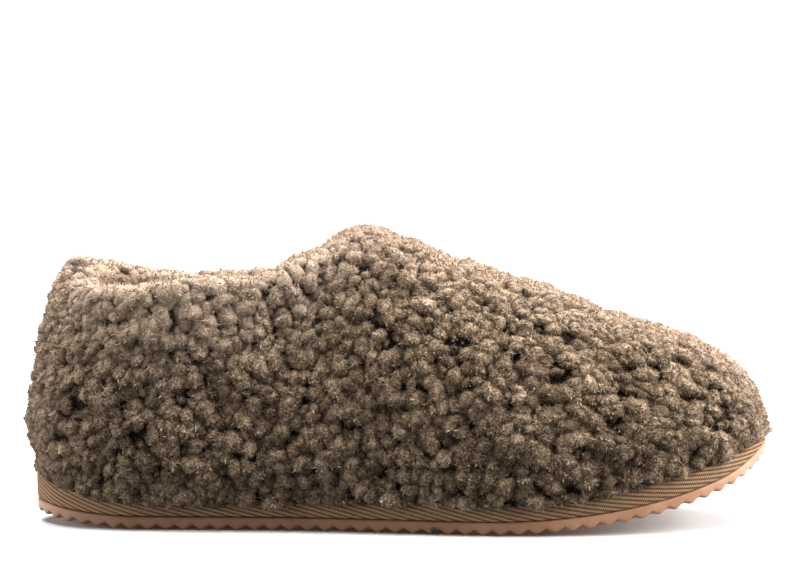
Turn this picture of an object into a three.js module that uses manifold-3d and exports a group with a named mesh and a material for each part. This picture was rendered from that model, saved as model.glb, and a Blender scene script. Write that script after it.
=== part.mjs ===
// Slipper boot in curly shearling: a low closed slipper for the right foot, with a rounded collar, a woven
// tape wrapped round its platform and a thin gum-rubber outsole whose edge is cut into small ribs.
// Millimetres, +Z up. The toe points along +X and the outer side of the foot lies towards -Y.
import * as THREE from "three";
import { mergeVertices } from "three/addons/utils/BufferGeometryUtils.js";
import Module from "manifold-3d";

const wasm = await Module();
wasm.setup();

// Driving dimensions in millimetres
const soleLength = 267.5; // outsole, back of heel to toe tip
const ballWidth = 98; // outsole across the ball of the foot
const outsoleThickness = 4.8; // gum rubber, ribs included
const ribPitch = 6.4; // along the edge of the outsole
const ribDepth = 2.1;
const ribReach = 9; // how far a groove runs in from the edge
const ribRelief = 0.3; // the ribs stop this far above the floor
const grooveWidth = 3.8;
const heelSpring = 3.6; // lift of the sole's bottom at the back of the heel
const toeSpring = 25; // lift of the sole's bottom at the toe tip
const platformAtHeel = 13; // height of the wrapped platform
const platformAtToe = 7.5;
const tapeThickness = 1.3;
const tapeBulge = 0.3; // how far the wrapped tape swells at mid height
const instepHeight = 104; // wool at the front of the collar, above the floor, without its locks
const heelHeight = 91; // collar at the back of the heel
const outerSideHeight = 85; // collar halfway along the opening, outer side
const innerSideHeight = 84; // and inner side
const vampHeight = 85; // wool over the ball of the foot
const toeHeight = 62.5; // wool over the toe box
const openingWidth = 60; // across the collar, between the outer edges of its rim
const openingLength = 105; // along the foot, between the outer edges of its rim
const wallThickness = 9; // hide with its wool inside and the dense pile outside
const rimRise = 2.6; // how far the rolled rim stands above its edges
const sideSwell = 4; // swell of the sides between hem and collar
const overhang = 2; // how far the wool stands out beyond the sole at the hem
const hemDrop = 8; // how far the wool hangs down over the tape
const lockPitch = 17.6; // between locks of wool
const lockLength = 18.5;
const lockWidth = 15.5;
const lockHeight = 3.8; // how far a lock stands out of the pile
const insoleThickness = 5;
const insoleClearance = 1.2; // between the insole's edge and the wool of the wall
const seatGap = 0.3; // between pieces that rest on each other

// Outline of the sole, anticlockwise from the back of the heel along the outer side.
// along is a share of soleLength, across a share of ballWidth.
const outlineTable = [
  { along: 0.0, across: 0.0 },
  { along: 0.032, across: -0.19 },
  { along: 0.115, across: -0.305 },
  { along: 0.22, across: -0.33 },
  { along: 0.36, across: -0.355 },
  { along: 0.5, across: -0.43 },
  { along: 0.64, across: -0.5 },
  { along: 0.77, across: -0.48 },
  { along: 0.88, across: -0.39 },
  { along: 0.96, across: -0.235 },
  { along: 1.0, across: 0.03 },
  { along: 0.966, across: 0.275 },
  { along: 0.88, across: 0.43 },
  { along: 0.75, across: 0.5 },
  { along: 0.61, across: 0.455 },
  { along: 0.47, across: 0.355 },
  { along: 0.31, across: 0.305 },
  { along: 0.17, across: 0.32 },
  { along: 0.04, across: 0.2 },
];

// Ribs of the upper, by share of the half outline: 0 at the back of the heel, 1 at the toe tip.
// top: share of the way from the back to the front of the opening, or on from there to the toe.
// outer and inner: height of the rib's upper end on each side. opening: its place across, as a share of
// openingWidth. swell: share of sideSwell. rise: how high the side climbs before it turns in, as a share
// of the rib's height. shoulder and drop: how the rib meets its upper end. hem: share of hemDrop.
const collarEnd = 0.5; // where the two sides meet in front of the opening
const ribTable = [
  { at: 0.0, top: 0, outer: heelHeight, inner: heelHeight,
    opening: 0, swell: 0, rise: 0.33, shoulder: 0.59, drop: 0.33, hem: 0.26 },
  { at: 0.08, top: 0.03, outer: 0.92 * heelHeight, inner: 0.985 * heelHeight,
    opening: 0.2, swell: 0.3, rise: 0.33, shoulder: 0.55, drop: 0.33, hem: 0.7 },
  { at: 0.16, top: 0.15, outer: 0.97 * outerSideHeight, inner: 1.045 * innerSideHeight,
    opening: 0.42, swell: 0.8, rise: 0.33, shoulder: 0.4, drop: 0.35, hem: 0.9 },
  { at: 0.26, top: 0.42, outer: outerSideHeight, inner: innerSideHeight,
    opening: 0.5, swell: 1, rise: 0.34, shoulder: 0.4, drop: 0.35, hem: 1 },
  { at: 0.35, top: 0.68, outer: 0.9 * outerSideHeight + 0.1 * instepHeight,
    inner: 0.93 * innerSideHeight + 0.07 * instepHeight,
    opening: 0.44, swell: 1, rise: 0.36, shoulder: 0.42, drop: 0.3, hem: 1 },
  { at: 0.42, top: 0.88, outer: 0.45 * outerSideHeight + 0.55 * instepHeight,
    inner: 0.5 * innerSideHeight + 0.5 * instepHeight,
    opening: 0.32, swell: 1, rise: 0.38, shoulder: 0.48, drop: 0.2, hem: 0.85 },
  { at: 0.47, top: 0.98, outer: 0.1 * outerSideHeight + 0.9 * instepHeight,
    inner: 0.1 * innerSideHeight + 0.9 * instepHeight,
    opening: 0.14, swell: 0.9, rise: 0.4, shoulder: 0.55, drop: 0.06, hem: 0.8 },
  { at: collarEnd, top: 1, outer: instepHeight, inner: instepHeight,
    opening: 0, swell: 0.9, rise: 0.41, shoulder: 0.6, drop: 0, hem: 0.8 },
  { at: 0.58, top: 1.2, outer: 0.4 * vampHeight + 0.6 * instepHeight,
    inner: 0.4 * vampHeight + 0.6 * instepHeight,
    opening: 0, swell: 0.8, rise: 0.43, shoulder: 0.63, drop: 0, hem: 0.84 },
  { at: 0.68, top: 1.48, outer: vampHeight, inner: vampHeight,
    opening: 0, swell: 0.6, rise: 0.45, shoulder: 0.65, drop: 0, hem: 0.75 },
  { at: 0.8, top: 1.77, outer: 0.4 * vampHeight + 0.6 * toeHeight, inner: 0.4 * vampHeight + 0.6 * toeHeight,
    opening: 0, swell: 0.2, rise: 0.48, shoulder: 0.65, drop: 0, hem: 0.36 },
  { at: 0.91, top: 1.94, outer: 0.1 * vampHeight + 0.9 * toeHeight, inner: 0.1 * vampHeight + 0.9 * toeHeight,
    opening: 0, swell: -0.1, rise: 0.5, shoulder: 0.58, drop: 0, hem: 0.32 },
  { at: 1.0, top: 2, outer: toeHeight, inner: toeHeight,
    opening: 0, swell: 0, rise: 0.44, shoulder: 0.44, drop: 0, hem: 0.85 },
];

// Fineness of the faceted solids
const outlineSteps = 80; // round the platform, the tape and the insole
const ribsPerFacet = 4; // the flat tread has one corner for this many ribs
const ribSteps = 28; // ribs on each side of the upper
const wallSteps = 6; // up each rib

// One column of a table at t: a cubic that keeps to the rows and doesn't swing past them. It arrives level at
// both ends, where the two sides of the upper meet. Only the opening crosses over at the back of the heel and
// in front of the collar, so it keeps its slope there.
function columnAt(table, key, t) {
  const n = table.length;
  const slopes = [];
  for (let i = 0; i < n - 1; i++) {
    slopes.push((table[i + 1][key] - table[i][key]) / (table[i + 1].at - table[i].at));
  }
  const tangent = (i) => {
    if (key === "opening" && i === 0) return slopes[0];
    if (key === "opening" && table[i].at === collarEnd) return slopes[i - 1];
    if (i === 0 || i === n - 1) return 0;
    if (slopes[i - 1] * slopes[i] <= 0) return 0;
    return (2 * slopes[i - 1] * slopes[i]) / (slopes[i - 1] + slopes[i]);
  };
  let k = 0;
  while (k < n - 2 && t > table[k + 1].at) k++;
  const span = table[k + 1].at - table[k].at;
  const u = Math.min(Math.max((t - table[k].at) / span, 0), 1);
  const rise = u * u * (3 - 2 * u);
  return (
    table[k][key] * (1 - rise) +
    table[k + 1][key] * rise +
    span * (u * (1 - u) * (1 - u) * tangent(k) - u * u * (1 - u) * tangent(k + 1))
  );
}

const outlineCurve = new THREE.CatmullRomCurve3(
  outlineTable.map((row) => new THREE.Vector3(row.along * soleLength, row.across * ballWidth, 0)),
  true,
  "centripetal",
);
outlineCurve.arcLengthDivisions = 1200;
const perimeter = outlineCurve.getLength();

// Share of the perimeter at which the outline reaches the toe tip.
const searchSteps = 2000;
let tipShare = 0;
for (let i = 0, reach = 0; i < searchSteps; i++) {
  const x = outlineCurve.getPointAt(i / searchSteps).x;
  if (x > reach) {
    reach = x;
    tipShare = i / searchSteps;
  }
}

// Point of the outline at a share of the perimeter, moved outwards by offset.
function outlineAt(share, offset) {
  const wrapped = ((share % 1) + 1) % 1;
  const point = outlineCurve.getPointAt(wrapped);
  const tangent = outlineCurve.getTangentAt(wrapped);
  return new THREE.Vector2(point.x + tangent.y * offset, point.y - tangent.x * offset);
}

// Share of the perimeter for a share of the half outline on one side: -1 the outer side, 1 the inner side.
function shareOn(side, at) {
  return side < 0 ? at * tipShare : 1 - at * (1 - tipShare);
}

// Lift of the sole's bottom above the floor: flat under heel and ball, turned up at the toe tip.
const heelSpringShare = 0.14;
const toeSpringShare = 0.4;
const tipCurl = 0.2; // share of the toe spring that comes in the last few millimetres
function spring(x) {
  const along = x / soleLength;
  const back = Math.max(0, (heelSpringShare - along) / heelSpringShare);
  const front = Math.max(0, (along - 1 + toeSpringShare) / toeSpringShare);
  return heelSpring * back ** 2 + toeSpring * ((1 - tipCurl) * front ** 2.2 + tipCurl * front ** 12);
}

// Height of the platform, which thins towards the toe.
const thinFrom = 0.35;
function platformHeight(x) {
  const t = Math.min(Math.max((x / soleLength - thinFrom) / (1 - thinFrom), 0), 1);
  return platformAtHeel + (platformAtToe - platformAtHeel) * t ** 3;
}

const platformBottom = (x) => spring(x) + outsoleThickness + seatGap;
const platformTop = (x) => platformBottom(x) + platformHeight(x);

// Triangles over indexed corners, as a geometry
function geometryOf(corners, triangles) {
  const geometry = new THREE.BufferGeometry();
  geometry.setAttribute("position", new THREE.Float32BufferAttribute(corners.flatMap((p) => [p.x, p.y, p.z]), 3));
  geometry.setIndex(triangles);
  return geometry;
}

// Adds the band of quads between two rings of equal length, which start at corner a and corner b.
function band(triangles, a, b, count) {
  for (let i = 0; i < count; i++) {
    const j = (i + 1) % count;
    triangles.push(a + i, a + j, b + j, a + i, b + j, b + i);
  }
}

// Adds the band between a coarse ring and the fine ring above it, which has `span` corners for each of its own.
function fans(triangles, coarse, count, fine, span) {
  for (let i = 0; i < count; i++) {
    const next = (i + 1) % count;
    for (let k = 0; k < span; k++) {
      const from = i * span + k;
      triangles.push(coarse + (2 * k < span ? i : next), fine + ((from + 1) % (count * span)), fine + from);
    }
    triangles.push(coarse + i, coarse + next, fine + i * span + span / 2);
  }
}

// Adds a lid over a ring: rungs from the outer side to the inner side. facing is 1 up, -1 down.
function lid(triangles, start, count, facing) {
  for (let low = 0, high = count; low + 1 < high; ) {
    const next = low + 1;
    const last = high - 1;
    const quad = high === count ? [low, next, last] : [low, next, high];
    const turned = facing > 0 ? quad : [quad[0], quad[2], quad[1]];
    triangles.push(...turned.map((k) => start + (k % count)));
    if (high !== count && next !== last) {
      const other = facing > 0 ? [next, last, high] : [next, high, last];
      triangles.push(...other.map((k) => start + k));
    }
    low = next;
    high = last;
  }
}

// A closed solid from rings stacked bottom to top, each a list of points anticlockwise from above.
function stackOf(rings) {
  const count = rings[0].length;
  const triangles = [];
  lid(triangles, 0, count, -1);
  for (let r = 0; r + 1 < rings.length; r++) band(triangles, r * count, (r + 1) * count, count);
  lid(triangles, (rings.length - 1) * count, count, 1);
  return geometryOf(rings.flat(), triangles);
}

// A ring of points round the outline, moved out by offset, at the height that heightAt gives for x.
function ringOf(offset, heightAt, steps = outlineSteps) {
  return Array.from({ length: steps }, (_, i) => {
    const p = outlineAt(i / steps, offset);
    return new THREE.Vector3(p.x, p.y, heightAt(p.x));
  });
}

// Outsole: a rubber sheet whose bottom edge is notched by grooves that run out towards its middle
function outsoleGeometry() {
  const facets = Math.round(perimeter / ribPitch / ribsPerFacet);
  const ribs = facets * ribsPerFacet;
  const half = grooveWidth / 2 / perimeter;
  const shares = [];
  for (let i = 0; i < ribs; i++) {
    const middle = (i + 0.5) / ribs;
    shares.push({ share: middle - half, depth: 0 }, { share: middle, depth: 1 }, { share: middle + half, depth: 0 });
  }
  const ring = (heightAt) =>
    shares.map(({ share, depth }) => {
      const p = outlineAt(share, 0);
      return new THREE.Vector3(p.x, p.y, spring(p.x) + heightAt(depth));
    });
  const rings = [
    ringOf(-ribReach, spring, facets),
    ring((depth) => ribRelief + depth * (ribDepth - ribRelief)),
    ring(() => outsoleThickness),
  ];
  const triangles = [];
  const count = shares.length;
  lid(triangles, 0, facets, -1);
  fans(triangles, 0, facets, facets, count / facets);
  band(triangles, facets, facets + count, count);
  lid(triangles, facets + count, count, 1);
  return geometryOf(rings.flat(), triangles);
}

function midsoleGeometry() {
  const inset = -tapeThickness - seatGap;
  return stackOf([ringOf(inset, platformBottom), ringOf(inset, platformTop)]);
}

// Tape wrapped round the platform: a closed band with a slight swell
function tapeGeometry() {
  const middle = (x) => (platformBottom(x) + platformTop(x)) / 2;
  const rings = [
    ringOf(-tapeThickness, platformBottom),
    ringOf(0, platformBottom),
    ringOf(tapeBulge, middle),
    ringOf(0, platformTop),
    ringOf(-tapeThickness, platformTop),
  ];
  const triangles = [];
  rings.forEach((_, r) => band(triangles, r * outlineSteps, ((r + 1) % rings.length) * outlineSteps, outlineSteps));
  return geometryOf(rings.flat(), triangles);
}

// Place along the foot of a rib's upper end
const openingBack = 0.047 * soleLength;
const openingFront = openingBack + openingLength;
const toeTop = 0.9 * soleLength;
function topPlace(top) {
  return top <= 1 ? openingBack + top * openingLength : openingFront + (top - 1) * (toeTop - openingFront);
}

// The upper's outer face at share `at` of one side and share `up` of the rib: a cubic from hem to upper end
function upperPoint(side, at, up) {
  const rib = (key) => columnAt(ribTable, key, at);
  const foot = outlineAt(shareOn(side, at), overhang);
  const out = outlineAt(shareOn(side, at), overhang + 1).sub(foot);
  const hem = new THREE.Vector3(foot.x, foot.y, platformTop(foot.x) - rib("hem") * hemDrop);
  const opening = at < collarEnd ? rib("opening") * openingWidth : 0;
  const end = new THREE.Vector3(topPlace(rib("top")), side * opening, rib(side < 0 ? "outer" : "inner"));
  const height = end.z - hem.z;
  const swell = rib("swell") * sideSwell;
  const low = new THREE.Vector3(hem.x + out.x * swell, hem.y + out.y * swell, hem.z + rib("rise") * height);
  const high = new THREE.Vector3(
    end.x + rib("shoulder") * (hem.x - end.x),
    end.y + rib("shoulder") * (hem.y - end.y),
    end.z - rib("drop") * height,
  );
  return new THREE.CubicBezierCurve3(hem, low, high, end).getPoint(up);
}

// How far in from the outline the insole stays at a share of the perimeter: clear of the wool wall, which
// leans in above the hem at the toe.
function insoleInset(share) {
  const side = share < tipShare ? -1 : 1;
  const at = side < 0 ? share / tipShare : (1 - share) / (1 - tipShare);
  const foot = outlineAt(share, 0);
  const out = outlineAt(share, 1).sub(foot);
  const leans = [0, 0.1, 0.2, 0.3].map((up) => {
    const point = upperPoint(side, at, up);
    return (point.x - foot.x) * out.x + (point.y - foot.y) * out.y;
  });
  return Math.min(...leans) - wallThickness - insoleClearance;
}

// Insole: a flat bed of wool on the platform, rounded over at its upper edge
function insoleGeometry() {
  const steps = outlineSteps * 0.75;
  const ring = (inward, up) =>
    Array.from({ length: steps }, (_, i) => {
      const p = outlineAt(i / steps, insoleInset(i / steps) - inward);
      return new THREE.Vector3(p.x, p.y, platformTop(p.x) + seatGap + up);
    });
  return stackOf([
    ring(0, 0),
    ring(0, 0.7 * insoleThickness),
    ring(0.3 * insoleThickness, insoleThickness),
  ]);
}

// Corners of the outer face. Ribs at the heel and the toe tip belong to both sides, and in front of the
// opening the two sides share their upper ends.
const cornerOf = new Map();
const outerCorners = [];
function outerCorner(side, i, j) {
  const middle = i === 0 || i === ribSteps || (j === wallSteps && i >= collarRibs);
  const key = `${middle ? 0 : side},${i},${j}`;
  if (!cornerOf.has(key)) {
    cornerOf.set(key, outerCorners.length);
    outerCorners.push(upperPoint(side, ribShare(i), j / wallSteps));
  }
  return cornerOf.get(key);
}
const collarRibs = Math.round(ribSteps * collarEnd);
// Shares of the ribs, with one of them exactly at the front of the collar
function ribShare(i) {
  return i <= collarRibs
    ? (i / collarRibs) * collarEnd
    : collarEnd + ((i - collarRibs) / (ribSteps - collarRibs)) * (1 - collarEnd);
}

// The wool wall: outer face, inner face one wall thickness inside it, rolled rim and hem
function shellGeometry() {
  const outer = [];
  const quad = (a, b, c, d) => outer.push(a, b, c, a, c, d);
  for (let i = 0; i < ribSteps; i++) {
    for (let j = 0; j < wallSteps; j++) {
      const corners = (side) => [
        outerCorner(side, i, j),
        outerCorner(side, i + 1, j),
        outerCorner(side, i + 1, j + 1),
        outerCorner(side, i, j + 1),
      ];
      quad(...corners(-1));
      quad(...corners(1).reverse());
    }
  }
  const faces = geometryOf(outerCorners, outer);
  faces.computeVertexNormals();
  const normals = faces.getAttribute("normal");
  const count = outerCorners.length;
  const innerCorners = outerCorners.map((p, k) =>
    new THREE.Vector3().fromBufferAttribute(normals, k).multiplyScalar(-wallThickness).add(p),
  );
  const rim = [];
  for (let i = 0; i < collarRibs; i++) rim.push(outerCorner(-1, i, wallSteps));
  for (let i = collarRibs; i > 0; i--) rim.push(outerCorner(1, i, wallSteps));
  const rimTops = rim.map((k) =>
    outerCorners[k].clone().add(innerCorners[k]).multiplyScalar(0.5).add(new THREE.Vector3(0, 0, rimRise)),
  );
  const hem = [];
  for (let i = 0; i < ribSteps; i++) hem.push(outerCorner(-1, i, 0));
  for (let i = ribSteps; i > 0; i--) hem.push(outerCorner(1, i, 0));

  const triangles = [...outer];
  for (let k = 0; k < outer.length; k += 3) {
    triangles.push(outer[k] + count, outer[k + 2] + count, outer[k + 1] + count);
  }
  const strip = (a, b, c, d) => triangles.push(a, b, c, a, c, d);
  rim.forEach((k, r) => {
    const s = (r + 1) % rim.length;
    strip(k, rim[s], 2 * count + s, 2 * count + r);
    strip(2 * count + r, 2 * count + s, rim[s] + count, k + count);
  });
  hem.forEach((k, r) => {
    const next = hem[(r + 1) % hem.length];
    strip(k, k + count, next + count, next);
  });
  return geometryOf([...outerCorners, ...innerCorners, ...rimTops], triangles);
}

// The same mesh as a manifold solid, and back
function solidOf(geometry) {
  const bare = geometry.clone();
  bare.deleteAttribute("normal");
  bare.deleteAttribute("uv");
  const merged = mergeVertices(bare, 1e-4);
  return new wasm.Manifold(
    new wasm.Mesh({
      numProp: 3,
      vertProperties: new Float32Array(merged.attributes.position.array),
      triVerts: new Uint32Array(merged.index.array),
    }),
  );
}
function geometryFrom(solid) {
  const mesh = solid.getMesh();
  const geometry = new THREE.BufferGeometry();
  geometry.setAttribute("position", new THREE.BufferAttribute(mesh.vertProperties, 3));
  geometry.setIndex(new THREE.BufferAttribute(mesh.triVerts, 1));
  return geometry;
}

// A number from 0 to 1 that looks random but is the same for the same n
const scatter = (n) => Math.abs(Math.sin(n * 12.9898 + 4.1) * 43758.5453) % 1;

// Places for the locks of wool: candidates over the whole outer face, kept where none lies too near.
// The rolled rim of the collar stays free of them.
function lockPlaces() {
  const places = [];
  const rows = 44;
  const columns = 110;
  for (let r = 0; r < rows; r++) {
    for (let c = 0; c <= columns; c++) {
      for (const side of [-1, 1]) {
        const at = Math.min((c + 0.5 * (r % 2)) / columns, 1);
        const highest = at < collarEnd ? 0.9 : 1;
        const up = 0.1 + ((highest - 0.1) * r) / (rows - 1);
        const point = upperPoint(side, at, up);
        if (places.some((place) => place.point.distanceTo(point) < lockPitch)) continue;
        const step = 0.01;
        const down = upperPoint(side, at, up - step).sub(point).normalize();
        const nearby = at < 0.5 ? at + step : at - step;
        const along = upperPoint(side, nearby, up - step).sub(point).multiplyScalar(at < 0.5 ? -side : side);
        places.push({ point, down, outward: down.clone().cross(along).normalize() });
      }
    }
  }
  return places;
}

// One lock: a five-sided dome whose thick end hangs down the wall. Rows: share of the half length and half
// width at which a ring stands, its place along the lock, its height and its turn in fifths of a circle.
const lockRings = [
  { spread: 1, along: 0, height: 0, turn: 0 },
  { spread: 0.78, along: 0.16, height: 0.68, turn: 0.5 },
];
const lockPeak = { along: 0.2, height: 1 };
const lockSides = 5;
const lockCorners = [
  ...lockRings.flatMap((ring) =>
    Array.from({ length: lockSides }, (_, i) => {
      const angle = ((i + ring.turn) / lockSides) * 2 * Math.PI;
      return [ring.along + ring.spread * Math.cos(angle), ring.spread * Math.sin(angle), ring.height];
    }),
  ),
  [lockPeak.along, 0, lockPeak.height],
];
const lockFaces = Array.from({ length: lockSides }, (_, i) => {
  const j = (i + 1) % lockSides;
  const ring = lockSides;
  return [i, j, ring + i, j, ring + j, ring + i, ring + i, ring + j, 2 * ring];
});
for (let i = 1; i + 1 < lockSides; i++) lockFaces.push([0, i + 1, i]);
const lockSunk = 1.5; // how deep a lock's root sits in the wall
function lockSolid(place, n) {
  const { point, down, outward } = place;
  const across = new THREE.Vector3().crossVectors(outward, down).normalize();
  const size = 0.9 + 0.2 * scatter(n);
  const corners = lockCorners.map(([x, y, z]) =>
    new THREE.Vector3((x * size * lockLength) / 2, (y * size * lockWidth) / 2, z * (lockHeight + lockSunk) - lockSunk),
  );
  const geometry = geometryOf(corners, lockFaces.flat());
  const turn = new THREE.Matrix4().makeRotationZ((scatter(n + 0.5) - 0.5) * 1.6);
  geometry.applyMatrix4(new THREE.Matrix4().makeBasis(down, across, outward).multiply(turn));
  geometry.translate(point.x, point.y, point.z);
  return solidOf(geometry);
}

// Upper: the wall with its locks, cut away where the platform sits
function upperGeometry() {
  let solid = solidOf(shellGeometry());
  lockPlaces().forEach((place, n) => {
    solid = solid.add(lockSolid(place, n));
  });
  const belowHem = -2 * hemDrop;
  const room = stackOf([
    ringOf(tapeBulge + seatGap, (x) => platformBottom(x) + belowHem),
    ringOf(tapeBulge + seatGap, (x) => platformTop(x) + seatGap),
  ]);
  return geometryFrom(solid.subtract(solidOf(room)));
}

function piece(name, geometry, colour, roughness) {
  const material = new THREE.MeshStandardMaterial({ color: colour, roughness, metalness: 0 });
  const mesh = new THREE.Mesh(geometry, material);
  mesh.name = name;
  return mesh;
}

const boot = new THREE.Group();
boot.add(
  piece("outsole", outsoleGeometry(), 0xb5805f, 0.6),
  piece("midsole", midsoleGeometry(), 0x6b5a48, 0.9),
  piece("platform_tape", tapeGeometry(), 0x7d6144, 0.85),
  piece("insole", insoleGeometry(), 0xa8927d, 1),
  piece("upper", upperGeometry(), 0x8a7766, 1),
);

// The origin is on the floor, under the middle of the whole slipper.
const bounds = new THREE.Box3().setFromObject(boot);
boot.position.set(-(bounds.min.x + bounds.max.x) / 2, -(bounds.min.y + bounds.max.y) / 2, -bounds.min.z);

export default boot;
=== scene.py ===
# %% [markdown]
# # A curly shearling slipper, dressed in Blender
# The CAD model gives the plain solids of one low slipper: outsole, platform, tape, insole and upper.
# This file gives them the look of the real thing. Most of the work is in the wool: a pile of small
# springy curls, which is far too deep and lumpy to be left to a texture. Each step first says what the
# piece is, then how it can be made, and then makes it.

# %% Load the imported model
import math

import bpy
import numpy as np
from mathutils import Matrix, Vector


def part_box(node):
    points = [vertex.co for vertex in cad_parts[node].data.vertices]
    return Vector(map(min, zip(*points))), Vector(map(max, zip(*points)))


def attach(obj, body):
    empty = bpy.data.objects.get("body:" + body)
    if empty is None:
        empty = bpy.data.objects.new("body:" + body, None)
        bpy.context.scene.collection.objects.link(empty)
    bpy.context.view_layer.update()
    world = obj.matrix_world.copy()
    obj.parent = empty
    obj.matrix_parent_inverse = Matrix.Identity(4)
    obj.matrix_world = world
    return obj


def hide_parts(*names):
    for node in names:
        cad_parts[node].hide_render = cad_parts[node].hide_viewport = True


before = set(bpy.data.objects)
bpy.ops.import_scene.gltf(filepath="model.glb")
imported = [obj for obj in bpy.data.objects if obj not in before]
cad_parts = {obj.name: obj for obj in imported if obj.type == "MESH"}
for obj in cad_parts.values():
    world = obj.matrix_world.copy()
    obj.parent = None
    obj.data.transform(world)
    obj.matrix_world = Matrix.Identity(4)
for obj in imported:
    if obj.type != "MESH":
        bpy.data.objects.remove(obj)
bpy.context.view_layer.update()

print("nodes:", ", ".join(sorted(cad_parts)))

# %% [markdown]
# ## Sizes
# The slipper's own sizes, in millimetres. They are those of the CAD model, so that what is dressed on
# top keeps its form. Blender works in metres, so every mesh is divided by 1000 when it is made.

# %% Named sizes
SOLE_LENGTH = 267.5
BALL_WIDTH = 98.0
OUTSOLE_THICKNESS = 4.8
RIB_PITCH = 6.4
RIB_DEPTH = 2.1
RIB_REACH = 9.0
HEEL_SPRING = 3.6
TOE_SPRING = 25.0
PLATFORM_AT_HEEL = 13.0
PLATFORM_AT_TOE = 7.5
INSTEP_HEIGHT = 104.0
HEEL_HEIGHT = 91.0
OUTER_SIDE_HEIGHT = 85.0
INNER_SIDE_HEIGHT = 84.0
VAMP_HEIGHT = 85.0
TOE_HEIGHT = 62.5
OPENING_WIDTH = 60.0
OPENING_LENGTH = 105.0
WALL = 9.0
SIDE_SWELL = 4.0
OVERHANG = 2.0
HEM_DROP = 8.0
SEAT_GAP = 0.3
INSOLE_THICKNESS = 5.0
TO_METRES = 0.001

print(f"the sole is {SOLE_LENGTH} mm long and {BALL_WIDTH} mm wide, the instep {INSTEP_HEIGHT} mm high")

# %% [markdown]
# ## The outline of the sole
# A slipper's sole is cut from a sheet along one smooth closed line. Here it is a spline through 19
# points, each a share of the sole's length and of its width at the ball. It could be a Blender curve,
# but then nothing else could be measured along it, so it is worked out as an array instead.

# %% Outline as a closed spline
OUTLINE = np.array([
    (0.0, 0.0), (0.032, -0.19), (0.115, -0.305), (0.22, -0.33), (0.36, -0.355), (0.5, -0.43),
    (0.64, -0.5), (0.77, -0.48), (0.88, -0.39), (0.96, -0.235), (1.0, 0.03), (0.966, 0.275),
    (0.88, 0.43), (0.75, 0.5), (0.61, 0.455), (0.47, 0.355), (0.31, 0.305), (0.17, 0.32), (0.04, 0.2),
]) * (SOLE_LENGTH, BALL_WIDTH)


def closed_spline(points, per_span=240):
    """Points of a closed centripetal Catmull-Rom spline: between two points the curve is a cubic whose
    end slopes come from the neighbours, each weighed by the square root of its distance."""
    p0, p1, p2, p3 = (np.roll(points, k, axis=0) for k in (1, 0, -1, -2))
    spans = (p1 - p0, p2 - p1, p3 - p2)
    d0, d1, d2 = (np.linalg.norm(span, axis=1, keepdims=True) ** 0.5 for span in spans)
    m1 = ((p1 - p0) / d0 - (p2 - p0) / (d0 + d1) + (p2 - p1) / d1) * d1
    m2 = ((p2 - p1) / d1 - (p3 - p1) / (d1 + d2) + (p3 - p2) / d2) * d1
    t = (np.arange(per_span) / per_span)[None, :, None]
    p1, p2, m1, m2 = (a[:, None, :] for a in (p1, p2, m1, m2))
    curve = p1 + m1 * t + (-3 * p1 + 3 * p2 - 2 * m1 - m2) * t**2 + (2 * p1 - 2 * p2 + m1 + m2) * t**3
    return curve.reshape(-1, 2)


outline_points = closed_spline(OUTLINE)
outline_loop = np.vstack([outline_points, outline_points[:1]])
outline_reach = np.concatenate([[0], np.cumsum(np.linalg.norm(np.diff(outline_loop, axis=0), axis=1))])
PERIMETER = outline_reach[-1]
TIP_SHARE = outline_reach[np.argmax(outline_loop[:, 0])] / PERIMETER
print(f"outline: {PERIMETER:.0f} mm round, toe tip at {TIP_SHARE:.3f} of it")


def outline_at(share, offset=0.0):
    """x and y on the outline at a share of its length from the back of the heel, moved outwards by
    offset along the normal, which is the direction of travel turned a quarter to the right. The travel
    is measured over a short step either side."""
    reach = np.mod(share, 1.0) * PERIMETER
    step = 0.4

    def at(distance):
        wrapped = np.mod(distance, PERIMETER)
        return np.stack([np.interp(wrapped, outline_reach, outline_loop[:, k]) for k in (0, 1)], -1)

    along = at(reach + step) - at(reach - step)
    along /= np.linalg.norm(along, axis=-1, keepdims=True)
    out = np.stack([along[..., 1], -along[..., 0]], -1)
    return at(reach) + out * np.asarray(offset)[..., None]


# %% [markdown]
# ## Heights of the sole
# The slipper stands on the flat between heel and ball. The heel is lifted a little and the toe a lot,
# most of it in the last few millimetres. The platform under the wool thins towards the toe.

# %% Spring and platform
def spring(x):
    """Lift of the sole's bottom: a square at the heel, a steep power towards the toe."""
    along = x / SOLE_LENGTH
    back = np.maximum(0, (0.14 - along) / 0.14)
    front = np.maximum(0, (along - 0.6) / 0.4)
    return HEEL_SPRING * back**2 + TOE_SPRING * (0.8 * front**2.2 + 0.2 * front**12)


def platform_bottom(x):
    """The platform lies on the outsole with a small gap."""
    return spring(x) + OUTSOLE_THICKNESS + SEAT_GAP


def platform_top(x):
    """From a third of the length on, the thickness changes with the cube of the way to the toe."""
    t = np.clip((x / SOLE_LENGTH - 0.35) / 0.65, 0, 1)
    return platform_bottom(x) + PLATFORM_AT_HEEL + (PLATFORM_AT_TOE - PLATFORM_AT_HEEL) * t**3


node_low, node_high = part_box("outsole")
SHIFT = np.array([
    node_low[0] / TO_METRES - outline_points[:, 0].min(),
    node_low[1] / TO_METRES - outline_points[:, 1].min(),
    0.0,
])
print("the heel stands at x =", round(float(SHIFT[0]), 1), "mm in the shared frame")

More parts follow.
